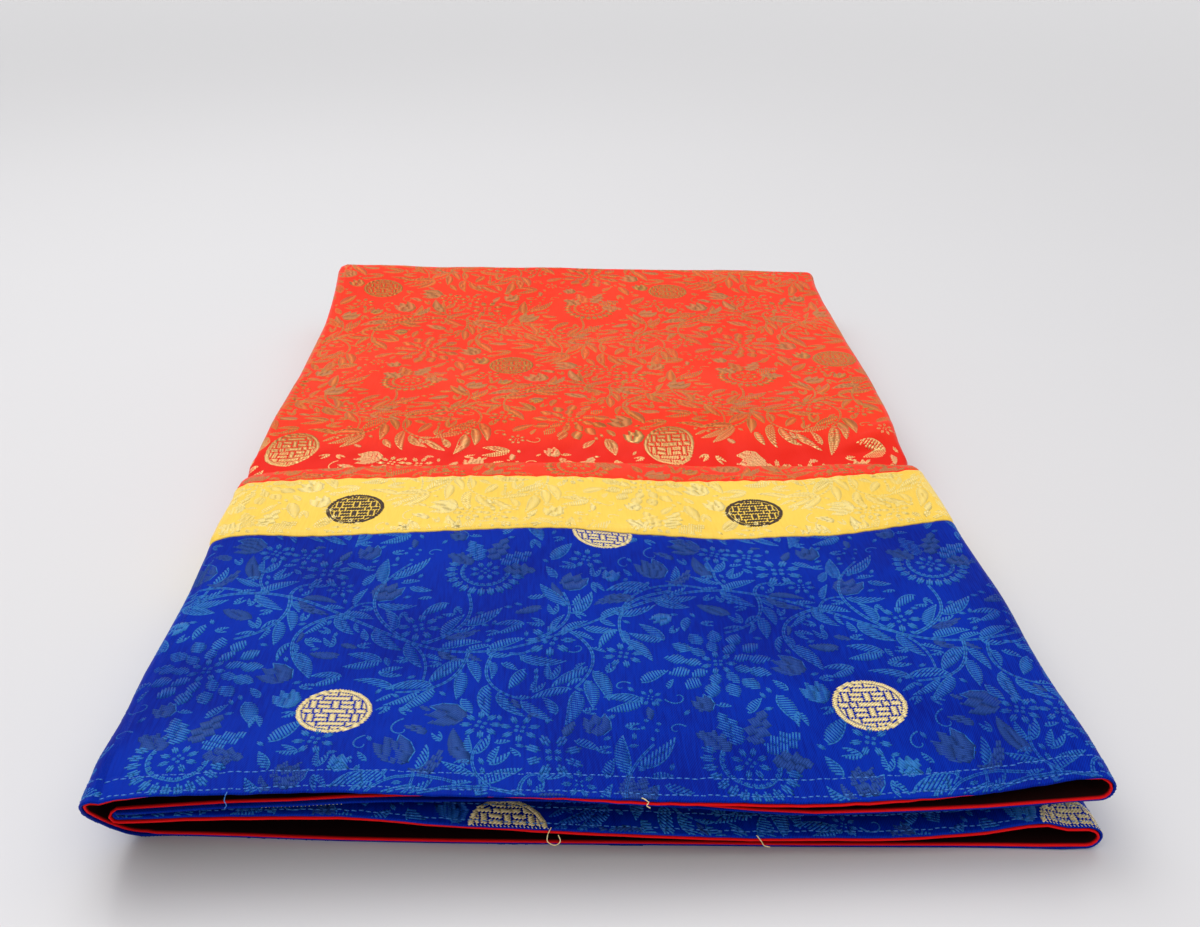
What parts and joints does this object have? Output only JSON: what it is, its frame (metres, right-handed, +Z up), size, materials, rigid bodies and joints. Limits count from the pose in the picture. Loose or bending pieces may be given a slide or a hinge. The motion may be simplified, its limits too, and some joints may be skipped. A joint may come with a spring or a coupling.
{
  "type": "folded brocade panel",
  "caption": "Lined silk brocade tube with a red main panel, yellow band and blue hemmed end, folded in half lengthwise and laid flat.",
  "frame": {"origin": "under the middle of the folded cloth's box, on the table it lies on", "axes": "+Y along the tube, from the blue front mouth to the rear end; +X to the right seen from the front mouth; +Z up"},
  "size_m": [0.4422, 0.6814, 0.0582],
  "materials": {
    "blue_brocade": "satin-ground brocade with paler floats",
    "yellow_brocade": "tone-on-tone brocade",
    "red_brocade": "satin-ground brocade with gold floats",
    "red_lining": "plain red cloth"
  },
  "bodies": {
    "root": {"blue_panel": "blue_brocade", "yellow_band": "yellow_brocade", "red_panel": "red_brocade", "lining": "red_lining"}
  },
  "joints": []
}
